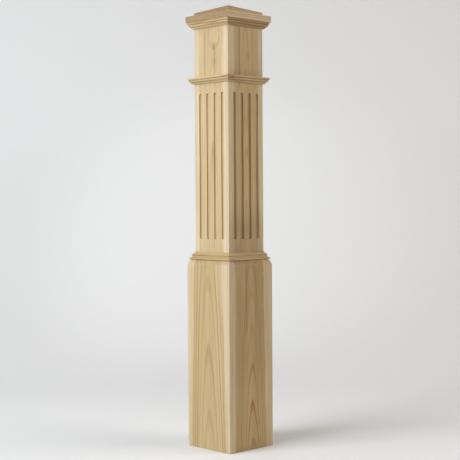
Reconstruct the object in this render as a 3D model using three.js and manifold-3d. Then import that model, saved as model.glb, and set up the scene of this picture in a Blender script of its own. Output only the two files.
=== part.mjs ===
// Box newel post: a hollow square shaft of mitred boards with fluted faces, a wider box of boards around its
// foot, three bands of mitred moulding, and a flat cap with a low pyramid on it.
// Millimetres, +Z up. The origin is the centre of the underside, and the front face looks towards -Y.

import * as THREE from "three";
import { mergeVertices } from "three/addons/utils/BufferGeometryUtils.js";
import Module from "manifold-3d";

const wasm = await Module();
wasm.setup();

const inch = 25.4;

// Gap left between pieces that touch
const jointGap = 0.3;

// Lower box
const baseWidth = 6.25 * inch;
const baseHeight = 19.5 * inch;
const baseBevelHeight = 0.5 * inch;
const baseBevelDepth = 0.25 * inch;

// Shaft
const shaftWidth = 5 * inch;
const shaftBoardThickness = 0.75 * inch;

// Flutes
const flutesPerFace = 4;
const fluteWidth = 0.375 * inch;
const fluteDepth = 0.1875 * inch;
const fluteFromArris = 0.875 * inch;
const fluteBottom = 550;
const fluteTop = 930.5;

// Mouldings. Each outline goes up from the underside: distance out from the shaft's face, height, and for an
// arc how far it bulges out of the wood from its chord, or hollows it when negative.
const transitionOutline = [
  [10.2, 0],
  [12.9, 1],
  [12.9, 3.8],
  [12, 4.4],
  [6.6, 8.8, -1],
  [6.6, 11.2],
  [7.7, 11.8],
  [7.7, 14],
  [1.3, 19.4, -0.9],
  [1.3, 20.2],
];
const bandOutline = [
  [2.2, 0],
  [2.2, 0.6],
  [6.9, 4.4, 1],
  [6.1, 4.7],
  [6.1, 5.6],
  [8.2, 5.6],
  [11.2, 9.6, 0.8],
  [11.2, 11.1],
  [10.3, 11.4],
  [10.3, 12.3],
  [13.6, 12.3],
  [13.6, 17],
];
const neckBottom = 956.2;

// Cap
const plateWidth = 160;
const plateThickness = 16.7;
const plateBottom = 1118.5;
const pyramidWidth = 128;
const pyramidFootHeight = 9;
const pyramidRise = 21;

// Fineness of the round shapes
const arcSteps = 5;
const fluteSteps = 16;
const fluteEndSteps = 4;
const weldDistance = 1e-4;

// Worked out from the above
const shaftFace = shaftWidth / 2;
const shaftInside = shaftFace - shaftBoardThickness;
const baseFace = baseWidth / 2;
const baseInside = shaftFace + jointGap;
const transitionBottom = baseHeight + jointGap;
const bandHeight = bandOutline.at(-1)[1];
const crownBottom = plateBottom - jointGap - bandHeight;
const blockBottom = neckBottom + bandHeight + jointGap;
const blockTop = crownBottom - jointGap;
const mitreSetback = (jointGap / 2) * Math.SQRT2;

const woods = {
  shaft: { color: 0xdcc79c, roughness: 0.62, metalness: 0 },
  base: { color: 0xd0b98a, roughness: 0.62, metalness: 0 },
  moulding: { color: 0xc9a66f, roughness: 0.58, metalness: 0 },
  cap: { color: 0xc7a56f, roughness: 0.6, metalness: 0 },
};

function pieceOf(name, geometry, wood) {
  const piece = new THREE.Mesh(geometry, new THREE.MeshStandardMaterial(woods[wood]));
  piece.name = name;
  return piece;
}

// A closed solid of a geometry, with its shared corners merged and faces of no area left out. Each triangle is
// numbered, which keeps the edges drawn across a flat face when something is cut from it.
function solidOf(geometry) {
  const skin = geometry.clone();
  skin.deleteAttribute("normal");
  skin.deleteAttribute("uv");
  const merged = mergeVertices(skin, weldDistance);
  const index = merged.index.array;
  const triangles = [];
  for (let i = 0; i < index.length; i += 3) {
    const [a, b, c] = index.slice(i, i + 3);
    if (a !== b && b !== c && c !== a) triangles.push(a, b, c);
  }
  const mesh = new wasm.Mesh({
    numProp: 3,
    vertProperties: merged.getAttribute("position").array,
    triVerts: new Uint32Array(triangles),
    faceID: new Uint32Array(triangles.length / 3).map((_, i) => i),
  });
  return new wasm.Manifold(mesh);
}

// The flat-faced geometry of a closed solid
function geometryOf(solid) {
  const { vertProperties, triVerts } = solid.getMesh();
  const indexed = new THREE.BufferGeometry();
  indexed.setAttribute("position", new THREE.BufferAttribute(vertProperties, 3));
  indexed.setIndex(new THREE.BufferAttribute(triVerts, 1));
  const faceted = indexed.toNonIndexed();
  faceted.computeVertexNormals();
  return faceted;
}

// Runs a profile along the front face of a square and cuts both ends on the corners' mitre planes.
// The profile's x is the distance from the post's axis, and its y is the height.
function mitredLength(profile) {
  const settings = { depth: 1, bevelEnabled: false, curveSegments: arcSteps };
  const length = new THREE.ExtrudeGeometry(profile, settings);
  const corners = length.getAttribute("position");
  for (let i = 0; i < corners.count; i += 1) {
    const out = corners.getX(i);
    const height = corners.getY(i);
    const end = corners.getZ(i) > 0.5 ? -1 : 1;
    corners.setXYZ(i, end * (out - mitreSetback), -out, height);
  }
  length.computeVertexNormals();
  return length;
}

// Adds an arc to a profile, from where the profile is now to (x, y)
function arcTo(profile, x, y, bulge) {
  const start = profile.currentPoint.clone();
  const chord = new THREE.Vector2(x - start.x, y - start.y);
  const half = chord.length() / 2;
  const height = Math.abs(bulge);
  const radius = (half * half + height * height) / (2 * height);
  const side = Math.sign(bulge);
  const inwards = new THREE.Vector2(-chord.y, chord.x).normalize();
  const centre = start.clone().addScaledVector(chord, 0.5);
  centre.addScaledVector(inwards, side * (radius - height));
  const from = Math.atan2(start.y - centre.y, start.x - centre.x);
  const to = Math.atan2(y - centre.y, x - centre.x);
  profile.absarc(centre.x, centre.y, radius, from, to, side < 0);
}

// A flute cutter: a round-nosed groove with hemispherical ends, upright, at x along the front face
function fluteCutter(x) {
  const radius = fluteWidth / 2;
  const straight = fluteTop - fluteBottom - fluteWidth;
  const cutter = new THREE.CapsuleGeometry(radius, straight, fluteEndSteps, fluteSteps);
  cutter.rotateX(Math.PI / 2);
  cutter.translate(x, -shaftFace - (radius - fluteDepth), (fluteTop + fluteBottom) / 2);
  return cutter;
}

// One long board of the shaft, with its flutes. Its face is divided where the plain block between the neck and
// crown mouldings begins and ends.
function shaftBoard() {
  const top = plateBottom - jointGap;
  const section = new THREE.Shape();
  section.moveTo(shaftInside, 0);
  section.lineTo(shaftFace, 0);
  section.lineTo(shaftFace, blockBottom);
  section.lineTo(shaftFace, blockTop);
  section.lineTo(shaftFace, top);
  section.lineTo(shaftInside, top);
  section.closePath();
  let board = solidOf(mitredLength(section));
  const firstFlute = -shaftFace + fluteFromArris;
  const pitch = (shaftWidth - 2 * fluteFromArris) / (flutesPerFace - 1);
  for (let i = 0; i < flutesPerFace; i += 1) {
    board = board.subtract(solidOf(fluteCutter(firstFlute + i * pitch)));
  }
  return geometryOf(board);
}

// One board of the lower box, bevelled along its top outer edge
function baseBoard() {
  const section = new THREE.Shape();
  section.moveTo(baseInside, 0);
  section.lineTo(baseFace, 0);
  section.lineTo(baseFace, baseHeight - baseBevelHeight);
  section.lineTo(baseFace - baseBevelDepth, baseHeight);
  section.lineTo(baseInside, baseHeight);
  section.closePath();
  return mitredLength(section);
}

// One length of moulding, flat against the shaft
function moulding(outline) {
  const back = shaftFace + jointGap;
  const section = new THREE.Shape();
  section.moveTo(back, 0);
  for (const [out, height, bulge] of outline) {
    if (bulge) arcTo(section, shaftFace + out, height, bulge);
    else section.lineTo(shaftFace + out, height);
  }
  section.lineTo(back, outline.at(-1)[1]);
  section.closePath();
  return mitredLength(section);
}

// The flat board of the cap
function capPlate() {
  const plate = new THREE.BoxGeometry(plateWidth, plateWidth, plateThickness);
  plate.translate(0, 0, plateThickness / 2);
  return plate;
}

// The block on the cap: square at its foot, then four shallow slopes to a point
function capPyramid() {
  const corner = pyramidWidth / Math.SQRT2;
  const profile = [
    new THREE.Vector2(0, 0),
    new THREE.Vector2(corner, 0),
    new THREE.Vector2(corner, pyramidFootHeight),
    new THREE.Vector2(0, pyramidFootHeight + pyramidRise),
  ];
  const block = new THREE.LatheGeometry(profile, 4, Math.PI / 4);
  block.rotateX(Math.PI / 2);
  return geometryOf(solidOf(block));
}

const post = new THREE.Group();

const shaftBoardShape = shaftBoard();
const baseBoardShape = baseBoard();
const transitionShape = moulding(transitionOutline);
const bandShape = moulding(bandOutline);

// Four sides alike, each turned a quarter from the last: its boards, and its mouldings from the bottom up
const sides = ["front", "right", "back", "left"];
const mouldings = [
  ["transition", transitionShape, transitionBottom],
  ["neck", bandShape, neckBottom],
  ["crown", bandShape, crownBottom],
];
sides.forEach((side, quarter) => {
  const face = new THREE.Group();
  face.rotation.z = (quarter * Math.PI) / 2;
  face.add(pieceOf(`shaft_board_${side}`, shaftBoardShape, "shaft"));
  face.add(pieceOf(`base_board_${side}`, baseBoardShape, "base"));
  for (const [place, shape, bottom] of mouldings) {
    const length = pieceOf(`${place}_moulding_${side}`, shape, "moulding");
    length.position.z = bottom;
    face.add(length);
  }
  post.add(face);
});

const plate = pieceOf("cap_plate", capPlate(), "cap");
plate.position.z = plateBottom;
post.add(plate);

const pyramid = pieceOf("cap_pyramid", capPyramid(), "cap");
pyramid.position.z = plateBottom + plateThickness + jointGap;
post.add(pyramid);

export default post;
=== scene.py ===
# %% [markdown]
# # A box newel post in unfinished poplar
# The post is boxed up from boards: four long ones mitred into a hollow shaft, four shorter ones around
# its foot, three bands of mitred moulding, and a flat cap with a low point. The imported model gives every
# size, and each board and moulding is made again here with finer edges and its own grain. Blender works
# in metres, so sizes in millimetres are multiplied by mm.

# %% Load the frame
import math

import bmesh
import bpy
from mathutils import Matrix, Vector


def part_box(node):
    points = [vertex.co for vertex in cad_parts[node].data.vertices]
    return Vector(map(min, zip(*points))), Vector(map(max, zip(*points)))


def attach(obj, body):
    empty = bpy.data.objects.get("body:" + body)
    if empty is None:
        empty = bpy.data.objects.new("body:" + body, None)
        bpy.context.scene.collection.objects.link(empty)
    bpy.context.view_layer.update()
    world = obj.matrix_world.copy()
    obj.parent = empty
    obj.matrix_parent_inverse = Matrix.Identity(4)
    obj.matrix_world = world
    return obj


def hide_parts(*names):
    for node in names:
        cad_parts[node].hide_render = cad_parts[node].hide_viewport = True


mm = 0.001
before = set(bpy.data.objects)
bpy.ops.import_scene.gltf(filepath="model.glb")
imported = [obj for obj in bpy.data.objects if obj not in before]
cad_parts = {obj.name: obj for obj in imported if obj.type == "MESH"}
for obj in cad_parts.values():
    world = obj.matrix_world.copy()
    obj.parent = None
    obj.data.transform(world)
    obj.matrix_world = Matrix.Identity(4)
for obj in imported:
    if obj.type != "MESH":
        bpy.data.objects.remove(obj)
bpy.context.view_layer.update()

# %% [markdown]
# ## The view
# The post was seen from a little above half its height, with one corner towards the eye. A camera could
# be placed by eye, but straight edges that run off to their vanishing points fix it closely: a long lens,
# three metres off, 45.8 degrees round from the front, tipped down by less than two degrees and rolled by
# a third of one.

# %% Camera
# The focal length is in picture points, the angles in degrees, and the places in metres
picture_side = 460
focal_points = 1150.4
sensor_width = 36
azimuth = math.radians(45.765)
tip = math.radians(1.43)
roll = math.radians(0.348)
distance = 3.0463
shift_aside = 0.00135
eye_height = 0.6486

towards_eye = Vector((math.sin(azimuth), -math.cos(azimuth), 0))
aside = Vector((math.cos(azimuth), math.sin(azimuth), 0))
camera_data = bpy.data.cameras.new("camera")
camera_data.sensor_width = sensor_width
camera_data.lens = focal_points / picture_side * sensor_width
camera = bpy.data.objects.new("camera", camera_data)
eye = towards_eye * distance + aside * shift_aside + Vector((0, 0, eye_height))
upright = Matrix.Rotation(azimuth, 4, "Z") @ Matrix.Rotation(math.pi / 2 - tip, 4, "X")
camera.matrix_world = Matrix.Translation(eye) @ upright @ Matrix.Rotation(-roll, 4, "Z")
bpy.context.scene.collection.objects.link(camera)
bpy.context.scene.camera = camera
print("lens:", round(camera_data.lens, 2), "mm")

# %% [markdown]
# ## The room
# A product like this is shown on a sweep of matt pale paper: it lies flat under the post, curves up
# behind it and has no edge. One strip of faces, bent along a quarter circle, makes it. Its reverse is
# clear, so the paper doesn't hide the post from someone who walks round behind it, and the room beyond it
# is a plain pale grey. An even sky would be simpler for the light, but it washes out the grooves, so the
# light comes from four lamps: a wide soft one in front of the left face, one behind on the right for the
# shaded face, a weak one over the floor in front, and one that brightens the paper behind.

# %% Helpers for colours and nodes
# An input goes by its name or its number. A Map Range node takes its From range as 1 and 2 and its To
# range as 3 and 4, and a Mix node of colours takes its share as 0 and the two colours as 6 and 7.
def linear(hex_colour, alpha=1):
    """The linear colour of an sRGB hex string."""
    channels = [int(hex_colour[i : i + 2], 16) / 255 for i in (1, 3, 5)]
    bent = [c / 12.92 if c <= 0.04045 else ((c + 0.055) / 1.055) ** 2.4 for c in channels]
    return (*bent, alpha)


def add(tree, kind, inputs=None, output=0, **settings):
    """Adds a shader node and returns one of its outputs. An output given as an input becomes a link."""
    node = tree.nodes.new("ShaderNode" + kind)
    for name, value in settings.items():
        setattr(node, name, value)
    for name, value in (inputs or {}).items():
        if isinstance(value, bpy.types.NodeSocket):
            tree.links.new(value, node.inputs[name])
        else:
            node.inputs[name].default_value = value
    return node.outputs[output] if len(node.outputs) else node


def new_material(name):
    """An empty material with its node tree and a shader that is joined to the output."""
    material = bpy.data.materials.new(name)
    material.use_nodes = True
    tree = material.node_tree
    tree.nodes.clear()
    shader = add(tree, "BsdfPrincipled")
    add(tree, "OutputMaterial", {"Surface": shader})
    return material, tree, shader.node


# %% Paper
# Uncoated paper scatters light and has hardly any gloss. Its fibres are too fine to show, so they are
# drawn as a faint mottle one to three centimetres across, a few hundred to the width of the sweep.
paper_roughness = 0.9
paper_ior = 1.45
paper_pale = linear("#eff1f3")
paper_grey = linear("#eceef0")
mottle_count = 400.0
mottle_detail = 3.0

paper, tree, shader = new_material("matt_paper_sweep")
shader.inputs["Roughness"].default_value = paper_roughness
shader.inputs["IOR"].default_value = paper_ior
mottle = add(tree, "TexNoise", {"Scale": mottle_count, "Detail": mottle_detail})
shade = add(tree, "Mix", {0: mottle, 6: paper_pale, 7: paper_grey}, 2, data_type="RGBA")
tree.links.new(shade, shader.inputs["Base Color"])
reverse = add(tree, "NewGeometry", output="Backfacing")
clear = add(tree, "BsdfTransparent")
one_sided = add(tree, "MixShader", {0: reverse, 1: shader.outputs[0], 2: clear})
tree.links.new(one_sided, tree.nodes["Material Output"].inputs["Surface"])
print("paper:", len(tree.nodes), "nodes")

# %% Paper sweep
# Distances along the sweep are from the post, and it rises behind it
sweep_front = -3.6
sweep_start = 0.95
sweep_radius = 1.0
sweep_top = 3.4
sweep_half_width = 4.5
sweep_steps = 24

line = [(sweep_front, 0)]
for i in range(sweep_steps + 1):
    turn = math.radians(90) * i / sweep_steps
    along = sweep_start + sweep_radius * math.sin(turn)
    line.append((along, sweep_radius * (1 - math.cos(turn))))
line.append((sweep_start + sweep_radius, sweep_top))
bm = bmesh.new()
edges = [[bm.verts.new((side * sweep_half_width, y, z)) for side in (-1, 1)] for y, z in line]
for lower, upper in zip(edges, edges[1:]):
    bm.faces.new((lower[0], lower[1], upper[1], upper[0]))
bm.transform(Matrix.Rotation(azimuth, 4, "Z"))
mesh = bpy.data.meshes.new("paper_sweep")
bm.to_mesh(mesh)
bm.free()
mesh.shade_smooth()
mesh.materials.append(paper)
sweep = bpy.data.objects.new("paper_sweep", mesh)
bpy.context.scene.collection.objects.link(sweep)
print("sweep:", len(mesh.polygons), "faces")

# %% Helpers for lamps
def aim_lamp(lamp, place, target):
    """Puts a lamp in the scene at a place, turned to a target."""
    lamp.location = place
    lamp.rotation_euler = (place - target).to_track_quat("Z", "Y").to_euler()
    bpy.context.scene.collection.objects.link(lamp)
    print(lamp.name, [round(v, 2) for v in lamp.location])


def soft_lamp(name, power, size, turn, height, away, target, colour):
    """A rectangular lamp that faces its target, turned from the front and raised by so many degrees."""
    data = bpy.data.lights.new(name, "AREA")
    data.shape = "RECTANGLE"
    data.size, data.size_y = size
    data.energy = power
    data.color = linear(colour)[:3]
    turn, height = math.radians(turn), math.radians(height)
    level = math.cos(height)
    way = Vector((math.sin(turn) * level, -math.cos(turn) * level, math.sin(height)))
    aim_lamp(bpy.data.objects.new(name, data), target + way * away, target)


# %% Soft lamps
# Power in watts, size and distance in metres, turn and height in degrees
post_middle = Vector((0, 0, 0.7))
post_lower = Vector((0, 0, 0.5))
floor_in_front = Vector((-0.19, -0.81, 0))
soft_lamp("key_lamp", power=118, size=(2.3, 1.0), turn=-10, height=23, away=4.0,
          target=post_middle, colour="#ffffff")
soft_lamp("side_lamp", power=36, size=(1.9, 1.9), turn=126, height=30, away=2.6,
          target=post_lower, colour="#fff5ea")
soft_lamp("floor_lamp", power=20, size=(1.2, 1.2), turn=0, height=89.9, away=2.6,
          target=floor_in_front, colour="#ffffff")

# %% Backdrop lamp
# It stands before the post on the left, above the picture, and lights a patch low on the paper behind
backdrop_power = 62
backdrop_spread = math.radians(28)
backdrop_softness = 1.0
backdrop_radius = 0.1
backdrop_height = 1.6
backdrop_aside = 1.8
patch_height = 0.44
patch_behind = 1.85

backdrop_lamp_data = bpy.data.lights.new("backdrop_lamp", "SPOT")
backdrop_lamp_data.energy = backdrop_power
backdrop_lamp_data.spot_size = backdrop_spread
backdrop_lamp_data.spot_blend = backdrop_softness
backdrop_lamp_data.shadow_soft_size = backdrop_radius
backdrop_lamp = bpy.data.objects.new("backdrop_lamp", backdrop_lamp_data)
beside_post = Vector((0, 0, backdrop_height)) + towards_eye - aside * backdrop_aside
aim_lamp(backdrop_lamp, beside_post, Vector((0, 0, patch_height)) - towards_eye * patch_behind)

# %% World
# As a light the world is a very weak white sky. Looked at past the paper's edge or through its reverse,
# it is a pale grey wall that lights nothing.
sky_colour = linear("#ffffff")
sky_strength = 0.02
wall_colour = linear("#e2e2e2")
wall_strength = 1.0

world = bpy.data.worlds.new("studio")
world.use_nodes = True
world.node_tree.nodes.clear()
sky = add(world.node_tree, "Background", {"Color": sky_colour, "Strength": sky_strength})
wall = add(world.node_tree, "Background", {"Color": wall_colour, "Strength": wall_strength})
looked_at = add(world.node_tree, "LightPath", output="Is Camera Ray")
room = add(world.node_tree, "MixShader", {0: looked_at, 1: sky, 2: wall})
add(world.node_tree, "OutputWorld", {"Surface": room})
bpy.context.scene.world = world
bpy.context.scene.view_settings.view_transform = "Standard"
print("world:", world.name)

# %% [markdown]
# ## The wood
# Poplar has cream sapwood near the bark and tan heartwood with olive and brown streaks inside it. A saw
# that runs along the log cuts its growth rings into long pointed arches, because the log tapers and the
# board isn't quite parallel to the pith. A painted pattern of arches would break at the edges, so the
# rings are worked out in the solid instead: the distance from a leaning pith line behind the board gives
# the ring, and arches, stripes and flute walls follow by themselves. One group holds that, and each board
# says where its pith lies.
#
# Inside the group everything is in millimetres: x across the board, y into it and z along it.

# %% Wood group and its inputs
wood = bpy.data.node_groups.new("poplar_grain", "ShaderNodeTree")
wood_inputs = [
    ("Grain", "NodeSocketVector", (0, 0, 0)),
    ("Pith", "NodeSocketVector", (0, 50, 0)),
    ("Lean", "NodeSocketVector", (0, 0.03, 0)),
    ("Ring width", "NodeSocketFloat", 4),
    ("First ring", "NodeSocketFloat", 0),
    ("Swell", "NodeSocketFloat", 0),
    ("Heart left", "NodeSocketFloat", -50),
    ("Heart left slope", "NodeSocketFloat", 0),
    ("Heart right", "NodeSocketFloat", 50),
    ("Heart right slope", "NodeSocketFloat", 0),
    ("Olive", "NodeSocketFloat", 0.5),
    ("Late wood", "NodeSocketFloat", 0.75),
    ("Late wood slope", "NodeSocketFloat", 0),
    ("Mark", "NodeSocketFloat", 0),
    ("End grain", "NodeSocketFloat", 0),
    ("Groove shade", "NodeSocketFloat", 0),
    ("Groove shade tint", "NodeSocketColor", (1, 1, 1, 1)),
    ("Tint", "NodeSocketColor", (1, 1, 1, 1)),
    ("Seed", "NodeSocketFloat", 0),
]
for name, kind, value in wood_inputs:
    socket = wood.interface.new_socket(name=name, in_out="INPUT", socket_type=kind)
    socket.default_value = value
wood_outputs = [
    ("Color", "NodeSocketColor"),
    ("Roughness", "NodeSocketFloat"),
    ("Height", "NodeSocketFloat"),
]
for name, kind in wood_outputs:
    wood.interface.new_socket(name=name, in_out="OUTPUT", socket_type=kind)
given = wood.nodes.new("NodeGroupInput").outputs
place = add(wood, "SeparateXYZ", {0: given["Grain"]}).node.outputs
print("wood inputs:", len(wood_inputs))

# %% Rings
# Rings wander by a millimetre or two over a hand's width, and by less over a finger's width
wander_per_mm = (0.006, 0.006, 0.0012)
wander_size = 9.0
ripple_per_mm = (0.03, 0.03, 0.004)
ripple_size = 2.4
noise_middle = 0.5
seed_per_ring = 17.3
bent = given["Grain"]
for steps, size in [(wander_per_mm, wander_size), (ripple_per_mm, ripple_size)]:
    where = add(wood, "VectorMath", {0: given["Grain"], 1: steps}, operation="MULTIPLY")
    noise = add(wood, "TexNoise", {"Vector": where, "W": given["Seed"], "Scale": 1.0, "Detail": 1.0},
                "Color", noise_dimensions="4D")
    centred = add(wood, "VectorMath", {0: noise, 1: (noise_middle,) * 3}, operation="SUBTRACT")
    moved = add(wood, "VectorMath", {0: centred, 1: (size, size, 0)}, operation="MULTIPLY")
    bent = add(wood, "VectorMath", {0: bent, 1: moved}, operation="ADD")

leaning = add(wood, "VectorMath", {0: given["Lean"], "Scale": place["Z"]}, operation="SCALE")
pith = add(wood, "VectorMath", {0: given["Pith"], 1: leaning}, operation="ADD")
from_pith = add(wood, "VectorMath", {0: bent, 1: pith}, operation="SUBTRACT")
flat = add(wood, "VectorMath", {0: from_pith, 1: (1, 1, 0)}, operation="MULTIPLY")
radius = add(wood, "VectorMath", {0: flat}, "Value", operation="LENGTH")
rings = add(wood, "Math", {0: radius, 1: given["Ring width"]}, operation="DIVIDE")
rings = add(wood, "Math", {0: rings, 1: given["First ring"]}, operation="ADD")
rings = add(wood, "Math", {0: rings, 1: given["Swell"]}, operation="ADD")
ring_number = add(wood, "Math", {0: rings}, operation="FLOOR")
within_ring = add(wood, "Math", {0: rings}, operation="FRACT")
ring_seed = add(wood, "Math", {0: given["Seed"], 1: seed_per_ring, 2: ring_number},
                operation="MULTIPLY_ADD")
ring_chance = add(wood, "TexWhiteNoise", {"W": ring_seed}, "Value", noise_dimensions="1D")
print("nodes after the rings:", len(wood.nodes))

# %% Late wood
# A ring darkens slowly towards its thin late wood and then ends at once. Some years leave a fainter line.
late_start = 0.6
late_end = 0.95
faintest_ring = 0.2
rise = add(wood, "MapRange", {0: within_ring, 1: late_start, 2: late_end},
           interpolation_type="SMOOTHERSTEP")
fall = add(wood, "MapRange", {0: within_ring, 1: 1.0, 2: late_end}, interpolation_type="SMOOTHSTEP")
late = add(wood, "Math", {0: rise, 1: fall}, operation="MULTIPLY")
ring_depth = add(wood, "MapRange", {0: ring_chance, 3: faintest_ring, 4: 1.0})
late = add(wood, "Math", {0: late, 1: ring_depth}, operation="MULTIPLY")
print("nodes after the late wood:", len(wood.nodes))

# %% Heartwood and sapwood
# The edge of the heartwood is soft, and it wanders a few millimetres sideways along the board
edge_softness = 2.8
edge_wander = 10.0
edge_steps = (0.0, 0.0, 0.011)
where = add(wood, "VectorMath", {0: given["Grain"], 1: edge_steps}, operation="MULTIPLY")
edge_noise = add(wood, "TexNoise", {"Vector": where, "W": given["Seed"], "Scale": 1.0, "Detail": 2.0},
                 noise_dimensions="4D")
edge_shift = add(wood, "Math", {0: edge_noise, 1: -noise_middle}, operation="ADD")
across = add(wood, "Math", {0: edge_shift, 1: edge_wander, 2: place["X"]}, operation="MULTIPLY_ADD")
heart = None
for side, sign in [("left", 1), ("right", -1)]:
    slope = given[f"Heart {side} slope"]
    start = given[f"Heart {side}"]
    edge = add(wood, "Math", {0: place["Z"], 1: slope, 2: start}, operation="MULTIPLY_ADD")
    inside = add(wood, "Math", {0: across, 1: edge}, operation="SUBTRACT")
    inside = add(wood, "MapRange", {0: inside, 1: -sign * edge_softness, 2: sign * edge_softness},
                 interpolation_type="SMOOTHSTEP")
    heart = inside if heart is None else add(wood, "Math", {0: heart, 1: inside}, operation="MULTIPLY")
print("nodes after the heartwood:", len(wood.nodes))

# %% Streaks and fibres
# Colour streaks are 10 to 30 mm wide and run for most of a board. Fibres are finer than the picture can
# hold, so they are drawn 1 to 3 mm wide.
streak_scales = {
    "broad": (0.036, 0.036, 0.0014),
    "narrow": (0.11, 0.11, 0.0032),
    "fibre": (0.33, 0.33, 0.006),
    "fine": (1.1, 1.1, 0.02),
}
streak_low = 0.32
streak_high = 0.68
streaks = {}
for name, steps in streak_scales.items():
    where = add(wood, "VectorMath", {0: bent, 1: steps}, operation="MULTIPLY")
    noise = add(wood, "TexNoise", {"Vector": where, "W": given["Seed"], "Scale": 1.0, "Detail": 2.0},
                noise_dimensions="4D")
    streaks[name] = add(wood, "MapRange", {0: noise, 1: streak_low, 2: streak_high},
                        interpolation_type="SMOOTHSTEP")
print("streaks:", list(streaks))

# %% Wood colours
# Unfinished poplar: cream sapwood, tan heartwood with olive and brown in it, and brown late wood and
# marks. No oil or lacquer deepens them.
sap_pale = linear("#e6d6b7")
sap_warm = linear("#dbc7a3")
heart_tan = linear("#dec89f")
heart_olive = linear("#c1ad79")
heart_brown = linear("#cfb285")
late_wood = linear("#ad8250")
mark_brown = linear("#8c7048")
end_brown = linear("#c5bdb1")
most_brown = 0.45
most_ring_tone = 0.35

olive_share = add(wood, "Math", {0: streaks["broad"], 1: given["Olive"]}, operation="MULTIPLY")
heart_colour = add(wood, "Mix", {0: olive_share, 6: heart_tan, 7: heart_olive}, 2, data_type="RGBA")
brown_share = add(wood, "Math", {0: streaks["narrow"], 1: most_brown}, operation="MULTIPLY")
heart_colour = add(wood, "Mix", {0: brown_share, 6: heart_colour, 7: heart_brown}, 2, data_type="RGBA")
ring_share = add(wood, "Math", {0: ring_chance, 1: most_ring_tone}, operation="MULTIPLY")
heart_colour = add(wood, "Mix", {0: ring_share, 6: heart_colour, 7: heart_olive}, 2, data_type="RGBA")
sap_colour = add(wood, "Mix", {0: streaks["narrow"], 6: sap_pale, 7: sap_warm}, 2, data_type="RGBA")
colour = add(wood, "Mix", {0: heart, 6: sap_colour, 7: heart_colour}, 2, data_type="RGBA")
print("nodes after the colours:", len(wood.nodes))

# %% How strongly the late wood shows
# It is faint in the sapwood. Beside the pith line a board cuts its rings on edge, into thin lines that
# look fainter than the arches in front of the pith. How far a point lies aside of the pith runs from 0 in
# front to 1 beside it.
late_in_sapwood = 0.25
late_on_edge = 0.6
edge_cut_start = 0.45
edge_cut_end = 0.8
late_here = add(wood, "Math", {0: place["Z"], 1: given["Late wood slope"], 2: given["Late wood"]},
                operation="MULTIPLY_ADD")
late_strength = add(wood, "MapRange", {0: heart, 3: late_in_sapwood, 4: 1.0})
late_share = add(wood, "Math", {0: late, 1: late_strength}, operation="MULTIPLY")
aside_of_pith = add(wood, "SeparateXYZ", {0: from_pith}, "X")
aside_of_pith = add(wood, "Math", {0: aside_of_pith, 1: radius}, operation="DIVIDE")
aside_of_pith = add(wood, "Math", {0: aside_of_pith}, operation="ABSOLUTE")
on_edge = add(wood, "MapRange",
              {0: aside_of_pith, 1: edge_cut_start, 2: edge_cut_end, 3: 1.0, 4: late_on_edge})
late_share = add(wood, "Math", {0: late_share, 1: on_edge}, operation="MULTIPLY")
late_share = add(wood, "Math", {0: late_share, 1: late_here}, operation="MULTIPLY")
colour = add(wood, "Mix", {0: late_share, 6: colour, 7: late_wood}, 2, data_type="RGBA")
print("nodes after the late wood's colour:", len(wood.nodes))

# %% Marks, fibres and tints
# Marks go over the rings. Fibres and tints only darken, so they are multiplied: the end grain, which
# drinks light, painted shade on the walls of grooves, and last the tone of the whole board.
darkest_streak = {"fibre": 0.9, "fine": 0.93}
tints = [
    (given["End grain"], end_brown),
    (given["Groove shade"], given["Groove shade tint"]),
    (1.0, given["Tint"]),
]
colour = add(wood, "Mix", {0: given["Mark"], 6: colour, 7: mark_brown}, 2, data_type="RGBA")
for name, darkest in darkest_streak.items():
    brightness = add(wood, "MapRange", {0: streaks[name], 3: darkest, 4: 1.0})
    colour = add(wood, "VectorMath", {0: colour, "Scale": brightness}, operation="SCALE")
for share, tint in tints:
    colour = add(wood, "Mix", {0: share, 6: colour, 7: tint}, 2, data_type="RGBA", blend_type="MULTIPLY")
print("nodes after the tints:", len(wood.nodes))

# %% Wood surface
# Sanded wood is matt, and a little smoother on the dense late wood
early_roughness = 0.66
late_roughness = 0.54
roughness = add(wood, "MapRange", {0: late, 3: early_roughness, 4: late_roughness})
relief = add(wood, "Math", {0: streaks["fine"], 1: streaks["fibre"]}, operation="ADD")
relief = add(wood, "Math", {0: relief, 1: late}, operation="SUBTRACT")
sink = wood.nodes.new("NodeGroupOutput")
for name, value in [("Color", colour), ("Roughness", roughness), ("Height", relief)]:
    wood.links.new(value, sink.inputs[name])
print("wood group:", len(wood.nodes), "nodes")

# %% [markdown]
# ## A finish for each board
# Sanded, unfinished poplar: soft and matt with no clear coat, so it gives broad even light and no mirror
# image. Each board comes from its own place in the log, so each has its own pith, rings, edge of sapwood
# and streaks. Mineral streaks, narrow brown or green lines along the grain, the swirl around a small
# knot and thin lines of painted shade in the mouldings' inner corners are laid on top.

# %% Marks
# A mark fades out at its ends over 25 mm, or more where it is wide, and at most over a third of it
least_fade = 25
fade_per_width = 1.3


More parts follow.
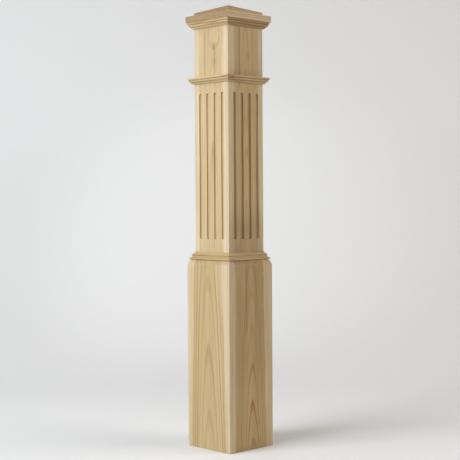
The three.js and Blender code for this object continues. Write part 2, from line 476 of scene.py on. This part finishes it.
def mark_on(tree, place, mark):
    """How strongly a mark darkens a point: mark is (x, half width, low, high, share) and may have a lean.

    A lean is how far the mark moves aside for each millimetre up, as a knot's two branches do.
    """
    x, half_width, low, high, share = mark[:5]
    lean = mark[5] if len(mark) > 5 else 0
    most_fade = (high - low) / 3
    fade = min(max(least_fade, fade_per_width * half_width), most_fade)
    off = add(tree, "Math", {0: place["X"], 1: lean * low - x}, operation="ADD")
    off = add(tree, "Math", {0: place["Z"], 1: -lean, 2: off}, operation="MULTIPLY_ADD")
    off = add(tree, "Math", {0: off, 1: half_width}, operation="DIVIDE")
    off = add(tree, "Math", {0: off, 1: 2.0}, operation="POWER")
    bell = add(tree, "Math", {0: off, 1: -1.0}, operation="MULTIPLY")
    bell = add(tree, "Math", {0: bell}, operation="EXPONENT")
    start = add(tree, "MapRange", {0: place["Z"], 1: low, 2: low + fade, 4: share},
                interpolation_type="SMOOTHSTEP")
    end = add(tree, "MapRange", {0: place["Z"], 1: high, 2: high - fade}, interpolation_type="SMOOTHSTEP")
    along = add(tree, "Math", {0: start, 1: end}, operation="MULTIPLY")
    return add(tree, "Math", {0: bell, 1: along}, operation="MULTIPLY")


# %% Swells
def swell_at(tree, place, swell):
    """Rings pushed aside around a knot: swell is (x, z, half width, half length, rings)."""
    x, z, half_width, half_length, rings = swell
    total = None
    for axis, centre, half in [("X", x, half_width), ("Z", z, half_length)]:
        off = add(tree, "Math", {0: place[axis], 1: -centre}, operation="ADD")
        off = add(tree, "Math", {0: off, 1: half}, operation="DIVIDE")
        off = add(tree, "Math", {0: off, 1: 2.0}, operation="POWER")
        total = off if total is None else add(tree, "Math", {0: total, 1: off}, operation="ADD")
    bell = add(tree, "Math", {0: total, 1: -1.0}, operation="MULTIPLY")
    bell = add(tree, "Math", {0: bell}, operation="EXPONENT")
    return add(tree, "Math", {0: bell, 1: rings}, operation="MULTIPLY")


# %% Board material
# The IOR is that of the wood's cell walls, and the relief is the twentieth of a millimetre that fine
# sandpaper leaves. End grain shows where a surface turns across the fibres. A groove's wall gets painted
# shade between two depths: it comes in from 0.3 to 0.8 mm and goes again from 2.0 to 3.4 mm, so the bottom
# stays clear.
wood_ior = 1.53
relief_depth = 0.05 * mm
end_turn = (0.35, 0.95)
groove_shade_depths = (0.3, 0.8, 2.0, 3.4)


def board_material(name, quarter, grain, marks=(), swells=(), level=None, face=None, top_end_grain_and_shade=0):
    """Sanded poplar whose grain runs up, or level from a given height.

    A board with grooves is given its face in millimetres. Faces that turn up take up to that share of the
    end-grain colour: partly for the fibres they cut, partly as painted shade on the top.
    """
    material, tree, shader = new_material(name)
    to_front = (0, 0, -quarter * math.pi / 2)
    turned = []
    for output, kind in [("Object", "POINT"), ("Normal", "NORMAL")]:
        source = add(tree, "TexCoord", output=output)
        turned.append(add(tree, "Mapping", {0: source, "Rotation": to_front}, vector_type=kind))
    scaled = add(tree, "VectorMath", {0: turned[0], "Scale": 1 / mm}, operation="SCALE")
    along = add(tree, "SeparateXYZ", {0: turned[1]}).node.outputs["Z" if level is None else "X"]
    along = add(tree, "Math", {0: along}, operation="ABSOLUTE")
    end_share = add(tree, "MapRange", {0: along, 1: end_turn[0], 2: end_turn[1]})
    # Faces that turn up can take the end-grain colour as well: some end grain, and painted shade on the
    # top
    if top_end_grain_and_shade:
        upward = add(tree, "SeparateXYZ", {0: turned[1]}).node.outputs["Z"]
        upward = add(tree, "MapRange", {0: upward, 1: end_turn[0], 2: end_turn[1], 4: top_end_grain_and_shade})
        end_share = add(tree, "Math", {0: end_share, 1: upward}, operation="MAXIMUM")
    if level is not None:
        parts = add(tree, "SeparateXYZ", {0: scaled}).node.outputs
        height = add(tree, "Math", {0: parts["Z"], 1: -level / mm}, operation="ADD")
        scaled = add(tree, "CombineXYZ", {0: height, 1: parts["Y"], 2: parts["X"]})
    parts = add(tree, "SeparateXYZ", {0: scaled}).node.outputs
    group = tree.nodes.new("ShaderNodeGroup")
    group.node_tree = wood
    tree.links.new(scaled, group.inputs["Grain"])
    tree.links.new(end_share, group.inputs["End grain"])
    if face is not None:
        depth = add(tree, "Math", {0: parts["Y"], 1: face}, operation="ADD")
        wall = add(tree, "MapRange", {0: depth, 1: groove_shade_depths[0], 2: groove_shade_depths[1]})
        bottom = add(tree, "MapRange", {0: depth, 1: groove_shade_depths[3], 2: groove_shade_depths[2]})
        painted_groove_shade = add(tree, "Math", {0: wall, 1: bottom}, operation="MULTIPLY")
        tree.links.new(painted_groove_shade, group.inputs["Groove shade"])
    for key, value in grain.items():
        group.inputs[key].default_value = value
    for socket, make, items in [("Mark", mark_on, marks), ("Swell", swell_at, swells)]:
        total = None
        for item in items:
            value = make(tree, parts, item)
            total = value if total is None else add(tree, "Math", {0: total, 1: value}, operation="ADD")
        if total is not None:
            tree.links.new(total, group.inputs[socket])
    relief = group.outputs["Height"]
    bump = add(tree, "Bump", {"Height": relief, "Distance": relief_depth, "Strength": 1.0})
    tree.links.new(group.outputs["Color"], shader.inputs["Base Color"])
    tree.links.new(group.outputs["Roughness"], shader.inputs["Roughness"])
    tree.links.new(bump, shader.inputs["Normal"])
    shader.inputs["IOR"].default_value = wood_ior
    return material


# %% [markdown]
# ## Mitred lengths
# Boards and mouldings are the same thing to a joiner: one outline run along a side of the post, with both
# ends cut at 45 degrees so that they meet their neighbours on the corner. So one function sweeps an
# outline along the front and ends it on the corner planes, and the result is turned to each side.
# Sandpaper takes the sharpness off a corner, so the last half millimetre curves round to meet the next
# piece.

# %% Sweep an outline along the front
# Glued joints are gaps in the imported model, 0.3 mm wide. Here the mitres close to a hairline.
side_names = ["front", "right", "back", "left"]
joint_gap = 0.3 * mm
corner_ease = 0.6 * mm
corner_steps = 3
mitre_seam = 0.03 * mm


def mitred_run(outline):
    """Sweeps (distance out, height, shown) points along the front. Returns the mesh and its rows."""
    bm = bmesh.new()
    turns = [math.radians(45) * i / corner_steps for i in range(corner_steps + 1)]
    rows = []
    for out, height, shown in outline:
        half = []
        for turn in turns:
            share = math.sin(turn) / math.sin(turns[-1])
            if shown:
                x = out - corner_ease + corner_ease * math.sin(turn)
                y = out - corner_ease + corner_ease * math.cos(turn)
            else:
                x = out - corner_ease * (1 - share)
                y = out
            half.append((x - mitre_seam, y))
        across = [(-x, y) for x, y in reversed(half)] + half
        rows.append([bm.verts.new((x, -y, height)) for x, y in across])
    for row, after in zip(rows, rows[1:] + rows[:1]):
        for i in range(len(row) - 1):
            bm.faces.new((row[i], row[i + 1], after[i + 1], after[i]))
    bm.faces.new([row[0] for row in rows])
    bm.faces.new([row[-1] for row in rows])
    return bm, rows


# %% Put a piece in place of its node
smooth_angle = math.radians(32)


def piece_from(name, bm, quarter, material):
    """Turns a mesh of the front to its side of the post and shows it in place of the node."""
    bmesh.ops.recalc_face_normals(bm, faces=bm.faces)
    bm.transform(Matrix.Rotation(quarter * math.pi / 2, 4, "Z"))
    mesh = bpy.data.meshes.new(name)
    bm.to_mesh(mesh)
    bm.free()
    mesh.shade_smooth()
    mesh.set_sharp_from_angle(angle=smooth_angle)
    mesh.materials.append(material)
    piece = bpy.data.objects.new(f"{name}_wood", mesh)
    bpy.context.scene.collection.objects.link(piece)
    weighted = piece.modifiers.new("even_shading", "WEIGHTED_NORMAL")
    weighted.keep_sharp = True
    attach(piece, "root")
    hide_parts(name)
    return piece


# %% [markdown]
# ## The shaft
# Four boards three quarters of an inch thick. Each face has four flutes, grooves with a round bottom and
# round ends that a core-box bit leaves when it is lowered into the wood, run along and lifted out. A
# boolean cut would work, but it leaves ragged rims. Here each flute is a nest of rings shaped like a
# running track that shrink as they go down, and the flat face around them is filled with triangles.

# %% Flute sizes
inch = 25.4 * mm
board_thickness = 0.75 * inch
flute_radius = 0.1875 * inch
flute_from_arris = 0.875 * inch
flutes_per_face = 4
flute_bottom = 550 * mm
flute_top = 930.5 * mm
flute_rim = 0.35 * mm
rim_steps = 3
groove_steps = 8
end_steps = 12
face_margin = 12 * mm
print("flute:", round(2 * flute_radius / mm, 2), "mm wide")


# %% One flute
def flute_profile():
    """(radius, depth) from the flat face over the eased rim and down the round wall."""
    steps = []
    for i in range(rim_steps):
        turn = math.radians(90) * i / rim_steps
        radius = flute_radius + flute_rim * (1 - math.sin(turn))
        steps.append((radius, flute_rim * (1 - math.cos(turn))))
    start = math.asin(flute_rim / flute_radius)
    for i in range(groove_steps):
        turn = start + (math.radians(90) - start) * i / groove_steps
        steps.append((flute_radius * math.cos(turn), flute_radius * math.sin(turn)))
    return steps


def cut_flute(bm, x, face):
    """Adds a flute's walls and returns the edges of its rim on the flat face."""
    low = flute_bottom + flute_radius
    high = flute_top - flute_radius
    rings = []
    for radius, depth in flute_profile():
        ring = []
        for centre, start in [(low, 180), (high, 0)]:
            for i in range(end_steps + 1):
                turn = math.radians(start + 180 * i / end_steps)
                point = (x + radius * math.cos(turn), -face + depth, centre + radius * math.sin(turn))
                ring.append(bm.verts.new(point))
        rings.append(ring)
    count = len(rings[0])
    for outer, inner in zip(rings, rings[1:]):
        for i in range(count):
            j = (i + 1) % count
            bm.faces.new((outer[i], outer[j], inner[j], inner[i]))
    foot = bm.verts.new((x, -face + flute_radius, low))
    head = bm.verts.new((x, -face + flute_radius, high))
    last = rings[-1]
    for i in range(end_steps):
        bm.faces.new((last[i], last[i + 1], foot))
        bm.faces.new((last[end_steps + 1 + i], last[end_steps + 2 + i], head))
    bm.faces.new((last[end_steps], last[end_steps + 1], head, foot))
    bm.faces.new((last[-1], last[0], foot, head))
    return [bm.edges.get((rings[0][i], rings[0][(i + 1) % count])) for i in range(count)]


# %% Fluted board
def fluted_board(node):
    """The shaft board of the front, with its flutes."""
    low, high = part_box(node)
    face = max(abs(low.x), abs(low.y), abs(high.x), abs(high.y))
    inside = face - board_thickness
    top = high.z
    outline = [
        (inside, 0, False),
        (face, 0, True),
        (face, flute_bottom - face_margin, True),
        (face, flute_top + face_margin, True),
        (face, top, True),
        (inside, top, False),
    ]
    bm, rows = mitred_run(outline)
    # The part of the flat face that holds the flutes is taken out and filled again around them
    middle = corner_steps
    corners = [rows[2][middle], rows[2][middle + 1], rows[3][middle + 1], rows[3][middle]]
    edges = [bm.edges.get((corners[i], corners[(i + 1) % 4])) for i in range(4)]
    bmesh.ops.delete(bm, geom=[bm.faces.get(corners)], context="FACES_ONLY")
    pitch = (2 * face - 2 * flute_from_arris) / (flutes_per_face - 1)
    for i in range(flutes_per_face):
        edges += cut_flute(bm, -face + flute_from_arris + i * pitch, face)
    bmesh.ops.triangle_fill(bm, use_beauty=True, use_dissolve=False, edges=edges)
    return bm


# %% Grain of the shaft boards
# The front and right boards carry what is seen on them: a small knot with a dark line under it on the
# front, and a green-brown line on the right. The other two are boards of the same kind. A pith is given
# from a line 30 mm behind the board's face.
pith_line = 30
shaft_grain = {
    "front": {
        "Pith": (4, -8, 0), "Lean": (0, 0.012, 0), "Ring width": 3.6, "First ring": 0.2,
        "Olive": 0.15, "Late wood": 0.45, "Heart left": -48, "Heart right": 41, "Seed": 3.1,
    },
    "right": {
        "Pith": (1, -22, 0), "Lean": (0, 0.019, 0), "Ring width": 3.1, "First ring": 0.55,
        "Olive": 0.6, "Late wood": 0.6, "Heart left": -45.5, "Heart right": 44.3, "Seed": 8.4,
        # Its tint is warmer than the front's: partly the board's own tone, partly painted warm shade of
        # the shaded side
        "Tint": linear("#faf6ee"),
    },
    "back": {
        "Pith": (-9, -12, 0), "Lean": (0.004, 0.016, 0), "Ring width": 3.4, "First ring": 0.1,
        "Olive": 0.6, "Heart left": -44, "Heart right": 47, "Seed": 12.7,
    },
    "left": {
        "Pith": (8, -18, 0), "Lean": (-0.003, 0.014, 0), "Ring width": 3.8, "First ring": 0.7,
        "Olive": 0.45, "Heart left": -50, "Heart right": 43, "Seed": 17.9,
    },
}
print("shaft boards:", list(shaft_grain))

# %% Marks of the shaft boards
shaft_marks = {
    "front": [
        (11.6, 3.4, 1040, 1062, 0.5),
        (12.4, 1.6, 998, 1058, 0.5),
        (14.4, 1.5, 935, 1032, 0.55),
        (12.5, 8, 985, 1075, 0.18),
        (10.5, 2.4, 1036, 1076, 0.24, -0.5),
        (12.5, 2.2, 1036, 1082, 0.32, 0.55),
        (-24.0, 2.4, 972, 1104, 0.35),
        (41.2, 1.0, 1010, 1106, 0.4),
        # Across the whole width: the board a little darker above its flutes
        (0, 80, 960, 1140, 0.12),
    ],
    "right": [
        (-22.4, 2.2, 930, 1130, 0.8),
        (-34, 8, 960, 1118, 0.22),
        (26.7, 1.2, 965, 1110, 0.35),
        (9.3, 6, 1010, 1045, 0.25),
        (0.3, 3, 625, 655, 0.35),
        (58, 12, 940, 1140, 0.16),
        # Across the whole width: the board darker at its foot, just above the lower box
        (0, 90, 430, 650, 0.35),
    ],
    "back": [(18, 1.2, 960, 1110, 0.4), (-30, 2, 560, 800, 0.25)],
    "left": [(-14, 1.5, 975, 1085, 0.4)],
}
shaft_swells = {
    "front": [(11.5, 1054, 9, 26, 0.9)],
    "right": [(1.3, 573, 10, 22, 1.2), (2.3, 845, 12, 60, 0.8)],
    "back": [(-20, 700, 10, 35, 1.0)],
    "left": [(5, 1030, 10, 30, 0.8)],
}
# Painted shade on the flute walls: brown on the front, a faint warm tint on the other sides
groove_shade_colours = {"front": "#e9d9c7", "right": "#fff2ea", "back": "#fff2ea", "left": "#fff2ea"}
print("marks:", sum(len(marks) for marks in shaft_marks.values()))

# %% Shaft boards
shaft_face = -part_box("shaft_board_front")[0].y / mm
for quarter, side in enumerate(side_names):
    name = f"shaft_board_{side}"
    grain = dict(shaft_grain[side])
    grain["Pith"] = tuple(Vector(grain["Pith"]) + Vector((0, pith_line - shaft_face, 0)))
    grain["Groove shade tint"] = linear(groove_shade_colours[side])
    material = board_material(
        f"sanded_poplar_shaft_{side}", quarter, grain, shaft_marks[side], shaft_swells[side],
        face=shaft_face,
    )
    piece = piece_from(name, fluted_board(name), quarter, material)
print("fluted board:", len(piece.data.polygons), "faces")

# %% [markdown]
# ## The lower box
# Four wider boards around the foot of the shaft. Their top outer edge has a steep bevel half an inch tall
# and a quarter deep, and the joiner rubs the bottom edge down a touch so that it doesn't splinter. That
# makes an outline of a few points, swept like the rest, with the bevel's two edges rubbed down as well.

# %% Outline of a box board
bevel_height = 0.5 * inch
bevel_depth = 0.25 * inch
foot_ease = 0.7 * mm
bevel_ease = 1.2 * mm
least_turn = math.radians(20)


def eased(points, ease):
    """The outline with each clear corner replaced by three points, within a third of its edges."""
    soft = []
    for i, point in enumerate(points):
        before = points[i - 1] - point
        after = points[(i + 1) % len(points)] - point
        turn = math.pi - before.angle(after)
        if 0 < i < len(points) - 1 and turn > least_turn:
            reach = min(ease, before.length / 3, after.length / 3)
            first = point + before.normalized() * reach
            last = point + after.normalized() * reach
            soft += [first, (first + last + 2 * point) / 4, last]
        else:
            soft.append(point)
    return soft


def box_board(node):
    """A board of the lower box, bevelled along its top outer edge."""
    low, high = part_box(node)
    face = max(abs(low.x), abs(low.y), abs(high.x), abs(high.y))
    inside = -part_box("shaft_board_front")[0].y + joint_gap
    corners = [
        (face - foot_ease, 0), (face, foot_ease), (face, high.z - bevel_height),
        (face - bevel_depth, high.z), (inside, high.z),
    ]
    points = eased([Vector(corner) for corner in corners], bevel_ease)
    shown = [(p.x, p.y, True) for p in points[:-1]]
    return mitred_run([(inside, 0, False)] + shown + [(inside, high.z, False)])[0]


# %% Grain of the box boards
# The pith lies 43 to 58 mm behind the face of these boards and leans away from it on its way up, which
# gives the tall arches. Here it is given from the face itself.
box_grain = {
    "front": {
        "Pith": (3, 43, 0), "Lean": (-0.0075, 0.0333, 0), "Ring width": 6.1, "First ring": 2.1464,
        "Olive": 0.75, "Late wood": 1.85, "Late wood slope": -0.0025, "Heart left": -66.5,
        "Heart left slope": 0.027, "Heart right": 67, "Heart right slope": -0.038, "Seed": 21.3,
        "Tint": linear("#fbf9f4"),
    },
    "right": {
        "Pith": (6, 52, 0), "Lean": (-0.01, 0.0316, 0), "Ring width": 3.0, "First ring": 0.14,
        "Olive": 1.0, "Late wood": 1.6, "Late wood slope": -0.0018, "Heart left": -60,
        "Heart left slope": 0.002, "Heart right": 56, "Heart right slope": -0.021, "Seed": 25.8,
        # Its tint is warmer than the front's: partly the board's own tone, partly painted warm shade of
        # the shaded side
        "Tint": linear("#f8f1e8"),
    },
    "back": {
        "Pith": (-6, 46, 0), "Lean": (0.01, 0.028, 0), "Ring width": 4.8, "First ring": 0.1,
        "Olive": 0.6, "Heart left": -58, "Heart left slope": 0.02, "Heart right": 63,
        "Heart right slope": -0.02, "Seed": 31.2,
    },
    "left": {
        "Pith": (5, 58, 0), "Lean": (0.004, 0.024, 0), "Ring width": 4.2, "First ring": 0.8,
        "Olive": 0.7, "Heart left": -62, "Heart left slope": 0.01, "Heart right": 58,
        "Heart right slope": -0.03, "Seed": 36.6,
    },
}
box_marks = {
    "front": [(-8.6, 2.0, 470, 482, 0.4), (66, 14, 479, 520, 0.2)],
    "right": [
        (-17.2, 1.6, 300, 492, 0.5),
        (-46.6, 1.0, 330, 460, 0.3),
        (17, 1.2, 330, 492, 0.35),
        # Painted shade over the whole board above its lowest 130 mm, so it is darker towards the top
        (0, 90, 130, 640, 0.18),
    ],
    "back": [(24, 1.6, 200, 430, 0.4)],
    "left": [(-30, 1.4, 60, 300, 0.35)],
}
print("box boards:", list(box_grain))

# %% Box boards
box_face = -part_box("base_board_front")[0].y / mm
for quarter, side in enumerate(side_names):
    name = f"base_board_{side}"
    grain = dict(box_grain[side])
    grain["Pith"] = tuple(Vector(grain["Pith"]) - Vector((0, box_face, 0)))
    material = board_material(f"sanded_poplar_box_{side}", quarter, grain, box_marks[side])
    piece = piece_from(name, box_board(name), quarter, material)
print("box board:", len(piece.data.polygons), "faces")

# %% [markdown]
# ## The mouldings
# Strips cut with shaped knives: a stepped cove that closes the lower box against the shaft, and a small
# band with two rounded steps that is used twice, above the flutes and under the cap. Their outlines are
# drawn from the bottom up with arcs, and every sharp corner is rubbed down a little.

# %% Outlines
arc_steps = 8
knife_ease = 0.22 * mm
transition_outline = [
    (10.2, 0), (12.9, 1), (12.9, 3.8), (12, 4.4), (6.6, 8.8, -1), (6.6, 11.2),
    (7.7, 11.8), (7.7, 14), (1.3, 19.4, -0.9), (1.3, 20.2),
]
band_outline = [
    (2.2, 0), (2.2, 0.6), (6.9, 4.4, 1), (6.1, 4.7), (6.1, 5.6), (8.2, 5.6),
    (11.2, 9.6, 0.8), (11.2, 11.1), (10.3, 11.4), (10.3, 12.3), (13.6, 12.3), (13.6, 17),
]


def arc_points(start, end, bulge):
    """Points along an arc. A bulge above 0 swells out of the wood, and one below 0 hollows it."""
    chord = end - start
    half = chord.length / 2
    size = abs(bulge)
    radius = (half * half + size * size) / (2 * size)
    inwards = Vector((-chord.y, chord.x)).normalized() * math.copysign(1, bulge)
    centre = start + chord / 2 + inwards * (radius - size)
    opening = 2 * math.asin(half / radius) * math.copysign(1, bulge)
    spoke = start - centre
    return [centre + Matrix.Rotation(opening * i / arc_steps, 2) @ spoke for i in range(1, arc_steps + 1)]


def moulding_run(outline, face, bottom):
    """A mitred length of moulding on the shaft's face."""
    points = [Vector(outline[0][:2])]
    for step in outline[1:]:
        end = Vector(step[:2])
        points += arc_points(points[-1], end, step[2]) if len(step) == 3 else [end]
    back = face + joint_gap
    shown = [(face + p.x, bottom + p.y, True) for p in eased([p * mm for p in points], knife_ease)]
    rows = [(back, bottom, False)] + shown + [(back, shown[-1][1], False)]
    return mitred_run(rows)[0]


# %% Painted shade and tints of the mouldings
# Each inner corner gets a thin brown line of painted shade. The grain is level here, so a mark's x is its
# height on the moulding, and it runs past both ends.
ends = (-200, 200)
band_corner_shade = [(5.1, 0.6, *ends, 0.4), (11.8, 0.6, *ends, 0.4)]
moulding_corner_shade = {
    "transition": [(11.4, 0.8, *ends, 0.5), (4.2, 0.6, *ends, 0.3), (0.5, 0.7, *ends, 0.3)],
    "neck": band_corner_shade,
    "crown": band_corner_shade,
}
# The transition, neck and crown entries are the wood's tone. The lengths on the right side are darker:
# painted shade of the shaded side, deepest on the crown.
moulding_tones_and_side_shade = {
    "transition": "#f6f0e6",
    "neck": "#ffffff",
    "crown": "#ffffff",
    "transition_moulding_right": "#faf7f4",
    "neck_moulding_right": "#f1ece6",
    "crown_moulding_right": "#d4c6b5",
}
print("moulding marks:", {name: len(marks) for name, marks in moulding_corner_shade.items()})

# %% Moulding lengths
# Each length comes from its own strip: its pith and seed move a step with the side and the row
pith_aside, pith_aside_step = 20, 3
pith_inside, pith_inside_step = 14, 2
first_seed = 41.0
seed_per_row = 4.7
seed_per_side = 1.9
levels = {"transition": transition_outline, "neck": band_outline, "crown": band_outline}
for row, (level_name, outline) in enumerate(levels.items()):
    for quarter, side in enumerate(side_names):
        name = f"{level_name}_moulding_{side}"
        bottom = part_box(name)[0].z
        inwards = -shaft_face + pith_inside + pith_inside_step * row
        grain = {
            "Pith": (pith_aside + pith_aside_step * quarter, inwards, 0), "Lean": (0.01, 0.02, 0),
            "Ring width": 4.6, "Olive": 0.3, "Late wood": 1.3, "Heart left": -90, "Heart right": 90,
            "Tint": linear(moulding_tones_and_side_shade.get(name, moulding_tones_and_side_shade[level_name])),
            "Seed": first_seed + seed_per_row * row + seed_per_side * quarter,
        }
        material = board_material(
            f"sanded_poplar_{level_name}_{side}", quarter, grain, moulding_corner_shade[level_name], level=bottom
        )
        run = moulding_run(outline, shaft_face * mm, bottom)
        piece = piece_from(name, run, quarter, material)
print("moulding:", len(piece.data.polygons), "faces")

# %% [markdown]
# ## The cap
# A flat square board closes the hollow, and a block with four shallow slopes sits on it. Both are single
# pieces with their grain level, so two of their sides show long grain and the other two the ends of the
# fibres. Their corners are rubbed down, which a bevel on every edge gives.

# %% Grain of the cap
# The plate is sapwood cut far from the pith, with strong streaks. Its heartwood's two edges are at the
# same place, so none is left. The block is heartwood, cut close to the pith. Its slopes face up and take
# the end-grain colour: partly for the fibres they cut across, partly as painted shade on the top.
cap_grain = {
    "cap_plate": {
        "Pith": (-260, 20, 0), "Lean": (0.01, 0.01, 0), "Ring width": 5.5, "Olive": 0.5,
        "Late wood": 7.0, "Heart left": 90, "Heart right": 90, "Seed": 61.5,
        "Tint": linear("#f5ede2"),
    },
    "cap_pyramid": {
        "Pith": (-25, -15, 0), "Lean": (0.01, 0.01, 0), "Ring width": 3.2, "Olive": 0.5,
        "Late wood": 0.75, "Heart left": -90, "Heart right": 90, "Seed": 66.2,
        "Tint": linear("#f6efe6"),
    },
}
print("cap pieces:", list(cap_grain))

# %% Cap board and block
cap_ease = 0.7 * mm
cap_ease_steps = 3
round_profile = 0.5
foot_height = 9 * mm
grain_quarter = side_names.index("right")


def cap_piece(name, levels, top_end_grain_and_shade=0):
    """A four-sided block. Each level is (half width, height), and a half width of 0 is a point."""
    bm = bmesh.new()
    rings = []
    for half, height in levels:
        corners = [(-half, -half), (half, -half), (half, half), (-half, half)] if half else [(0, 0)]
        rings.append([bm.verts.new((x, y, height)) for x, y in corners])
    bm.faces.new(rings[0])
    for lower, upper in zip(rings, rings[1:]):
        for i in range(4):
            j = (i + 1) % 4
            above = [upper[j], upper[i]] if len(upper) == 4 else [upper[0]]
            bm.faces.new([lower[i], lower[j]] + above)
    if len(rings[-1]) == 4:
        bm.faces.new(rings[-1])
    bmesh.ops.bevel(
        bm, geom=list(bm.edges), affect="EDGES",
        offset=cap_ease, segments=cap_ease_steps, profile=round_profile,
    )
    material = board_material(
        f"sanded_poplar_{name}", grain_quarter, cap_grain[name], level=levels[0][1], top_end_grain_and_shade=top_end_grain_and_shade
    )
    return piece_from(name, bm, 0, material)


low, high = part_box("cap_plate")
plate = cap_piece("cap_plate", [(high.x, low.z), (high.x, high.z)])
low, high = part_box("cap_pyramid")
slopes = [(high.x, low.z), (high.x, low.z + foot_height), (0, high.z)]
block = cap_piece("cap_pyramid", slopes, top_end_grain_and_shade=1.0)
print("cap:", len(plate.data.polygons), "and", len(block.data.polygons), "faces")
